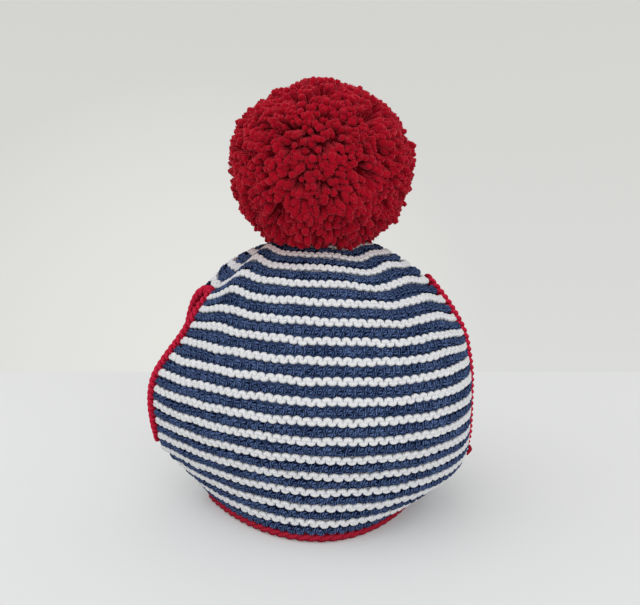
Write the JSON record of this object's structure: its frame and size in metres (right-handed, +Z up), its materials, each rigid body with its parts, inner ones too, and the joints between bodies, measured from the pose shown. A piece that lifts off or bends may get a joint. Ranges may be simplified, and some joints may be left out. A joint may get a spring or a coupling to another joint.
{
  "type": "tea cosy",
  "caption": "Knitted striped tea cosy with a large pompom on the drawn-up crown, a spout slit, a handle slit and a crocheted edging on the slits and hem.",
  "frame": {"origin": "centre of the part's box on the table plane, under the hem the cosy stands on", "axes": "+Z up, -Y towards the front panel, -X the spout side, +X the handle side"},
  "size_m": [0.1736, 0.134, 0.2262],
  "materials": {
    "knitted_navy_white": "garter-stitch knit, navy and white two-row stripes",
    "crochet_red": "crocheted wool edging",
    "pompom_red": "cut wool yarn ends"
  },
  "bodies": {
    "root": {"panel_front": "knitted_navy_white", "panel_back": "knitted_navy_white", "edging_spout": "crochet_red", "edging_handle": "crochet_red", "edging_hem": "crochet_red", "pompom": "pompom_red"}
  },
  "joints": []
}
